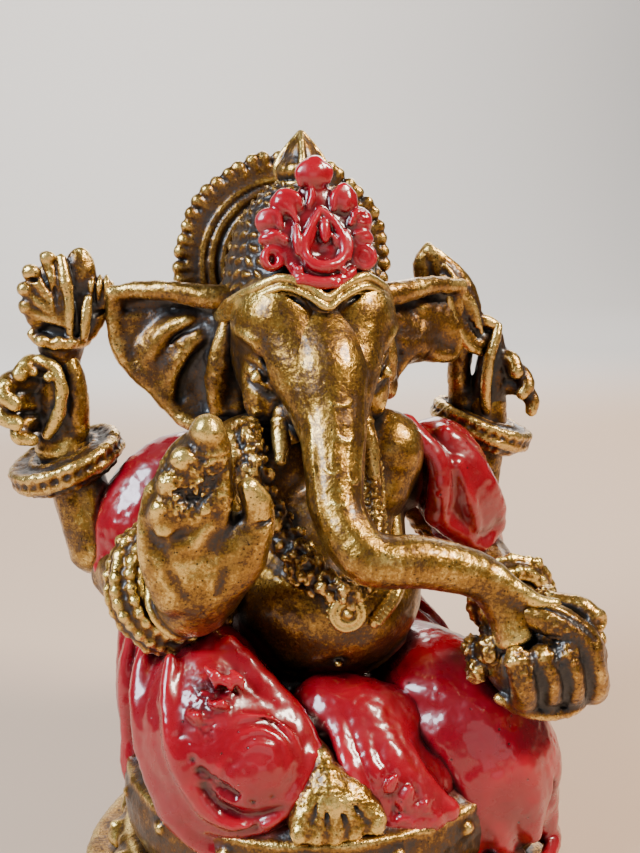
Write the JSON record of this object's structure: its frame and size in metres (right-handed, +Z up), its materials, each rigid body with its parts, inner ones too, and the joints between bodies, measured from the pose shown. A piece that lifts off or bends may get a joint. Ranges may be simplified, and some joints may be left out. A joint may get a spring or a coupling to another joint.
{
  "type": "ganesha idol",
  "caption": "Seated four-armed elephant-headed devotional idol with a halo, on a cushion, a ring of lotus petals and an oval plinth.",
  "frame": {"origin": "centre of the felt pad's underside, on the surface that the idol stands on", "axes": "+Z up, -Y the way the figure faces, +X towards the figure's left hand"},
  "size_m": [0.1173, 0.088, 0.1491],
  "materials": {
    "gold_paint": "antique gold lacquer rubbed over dark brown, satin to gloss",
    "dark_gold_paint": "the same lacquer left dark in the relief, satin",
    "red_enamel": "thick hand-brushed red enamel, high gloss",
    "felt": "short dark felt, matt"
  },
  "bodies": {
    "root": {"blessing_hand": "gold_paint", "conch_shell": "gold_paint", "crown_band": "gold_paint", "crown_cap": "dark_gold_paint", "crown_crest": "red_enamel", "crown_finial": "dark_gold_paint", "felt_pad": "felt", "garland": "dark_gold_paint", "halo": "gold_paint", "head_casting": "gold_paint", "hip_wrap": "red_enamel", "left_ear": "gold_paint", "left_foot": "gold_paint", "left_leg": "red_enamel", "left_shawl": "red_enamel", "left_tusk": "gold_paint", "lotus_flower": "gold_paint", "lotus_petals": "gold_paint", "lower_left_bracelet": "gold_paint", "lower_left_forearm": "gold_paint", "lower_left_upperarm": "gold_paint", "lower_right_bracelet": "gold_paint", "lower_right_forearm": "gold_paint", "lower_right_upperarm": "gold_paint", "offering_hand": "gold_paint", "pendant": "gold_paint", "plinth": "dark_gold_paint", "right_ear": "gold_paint", "right_foot": "gold_paint", "right_leg": "red_enamel", "right_shawl": "red_enamel", "right_tusk": "gold_paint", "sacred_thread": "gold_paint", "seat_cushion": "dark_gold_paint", "shawl_back": "red_enamel", "shawl_tail": "red_enamel", "sweet_pile": "gold_paint", "torso": "gold_paint", "trunk": "gold_paint", "upper_left_bangle": "gold_paint", "upper_left_forearm": "gold_paint", "upper_left_hand": "gold_paint", "upper_left_upperarm": "gold_paint", "upper_right_bangle": "gold_paint", "upper_right_forearm": "gold_paint", "upper_right_hand": "gold_paint", "upper_right_upperarm": "gold_paint", "wrap_pleats": "red_enamel"}
  },
  "joints": []
}
